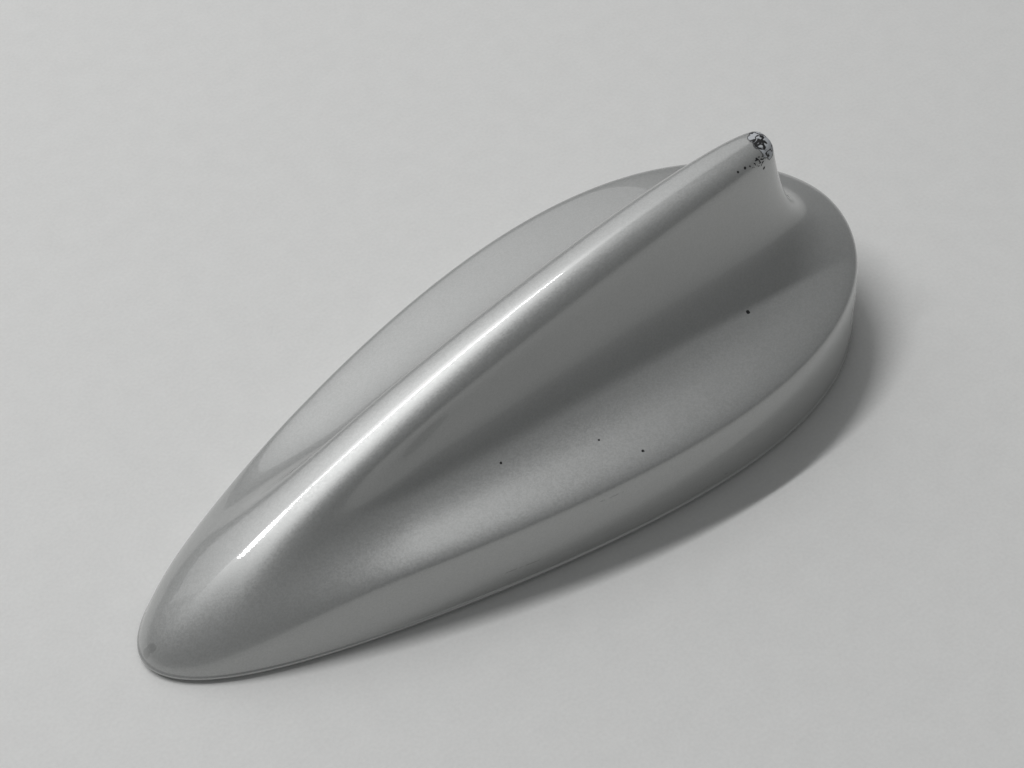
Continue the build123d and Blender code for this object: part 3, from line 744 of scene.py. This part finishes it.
class ANTENNA_OT_stage(bpy.types.Operator):
    """Sets the bench, the light and the camera"""

    bl_idname = "antenna.stage"
    bl_label = "Stage"

    def execute(self, context):
        scene = context.scene
        stage = scene.antenna_stage
        corners = np.array([[-1, -1, 0], [1, -1, 0], [1, 1, 0], [-1, 1, 0]]) * BENCH_HALF
        bench = lay("bench", corners, np.array([[0, 1, 2, 3]]))
        material, tree, shader, place = finish("bench_lacquer", Roughness=0.6, Specular_IOR_Level=0.25)
        grain = use(tree, grain_effect(), Place=place, Scale=1500.0, Coarse=0.35)
        mottle = blend(tree, grain, shaded(stage.bench, 0.9), shaded(stage.bench, 1.1))
        tree.links.new(mottle, shader.inputs["Base Color"])
        bench.data.materials.append(material)
        self.lamp("strip_lamp", stage.strip_power, **STRIP_LAMP)
        self.lamp("far_lamp", stage.far_power, **FAR_LAMP)
        world = bpy.data.worlds.new("even_sky")
        world.use_nodes = True
        background = world.node_tree.nodes["Background"]
        background.inputs["Color"].default_value = (0.98, 1.0, 1.0, 1.0)
        background.inputs["Strength"].default_value = stage.sky
        scene.world = world
        scene.view_settings.view_transform = "Standard"
        self.camera(scene, stage)
        return {"FINISHED"}

    def lamp(self, name, power, at, aim, sides):
        """A rectangular soft lamp that faces a point, its long side level."""
        light = bpy.data.lights.new(name, "AREA")
        light.shape = "RECTANGLE"
        light.size, light.size_y = sides
        light.energy = power
        lamp = bpy.data.objects.new(name, light)
        bpy.context.scene.collection.objects.link(lamp)
        away = (Vector(at) - Vector(aim)).normalized()
        side = Vector((0, 0, 1)).cross(away).normalized()
        turn = Matrix((side, away.cross(side), away)).transposed()
        lamp.matrix_world = Matrix.Translation(at) @ turn.to_4x4()

    def camera(self, scene, stage):
        """A camera that looks at the antenna's middle from the stated angles, rolled about its own axis."""
        a, e = radians(stage.azimuth), radians(stage.elevation)
        back = Vector((sin(a) * cos(e), -cos(a) * cos(e), sin(e)))
        right = Vector((cos(a), sin(a), 0.0))
        up = back.cross(right)
        turn = Matrix((right, up, back)).transposed() @ Matrix.Rotation(radians(stage.roll), 3, "Z")
        data = bpy.data.cameras.new("camera")
        data.sensor_width = 36.0
        data.lens = stage.lens
        data.shift_x, data.shift_y = stage.shift_x, stage.shift_y
        data.clip_start = 0.01
        camera = bpy.data.objects.new("camera", data)
        camera.matrix_world = Matrix.Translation(Vector(LOOK_AT) + back * stage.distance) @ turn.to_4x4()
        scene.collection.objects.link(camera)
        scene.camera = camera


OPERATORS = (ANTENNA_OT_cover, ANTENNA_OT_base, ANTENNA_OT_seals, ANTENNA_OT_fasteners, ANTENNA_OT_boards,
             ANTENNA_OT_aerials, ANTENNA_OT_sockets, ANTENNA_OT_stage)
GROUPS = {"antenna_cover": AntennaCoverSizes, "antenna_inserts": AntennaInsertSizes,
          "antenna_finishes": AntennaFinishes, "antenna_stage": AntennaStage}


class ANTENNA_PT_pieces(bpy.types.Panel):
    """Lists the antenna's pieces"""

    bl_idname = "ANTENNA_PT_pieces"
    bl_label = "Roof antenna"
    bl_space_type = "VIEW_3D"
    bl_region_type = "UI"
    bl_category = "Antenna"

    def draw(self, context):
        for operator in OPERATORS:
            self.layout.operator(operator.bl_idname)
        for name in ("length", "rim_half", "ridge_tip", "strip_half"):
            self.layout.prop(context.scene.antenna_cover, name)


def register():
    for name, group in GROUPS.items():
        bpy.utils.register_class(group)
        setattr(bpy.types.Scene, name, PointerProperty(type=group))
    for kind in (*OPERATORS, ANTENNA_PT_pieces):
        bpy.utils.register_class(kind)


def unregister():
    for kind in (ANTENNA_PT_pieces, *reversed(OPERATORS)):
        bpy.utils.unregister_class(kind)
    for name, group in GROUPS.items():
        delattr(bpy.types.Scene, name)
        bpy.utils.unregister_class(group)


def main():
    """Registers the add-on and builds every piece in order."""
    register()
    for piece in ("cover", "base", "seals", "fasteners", "boards", "aerials", "sockets", "stage"):
        getattr(bpy.ops.antenna, piece)()


if __name__ == "__main__":
    main()
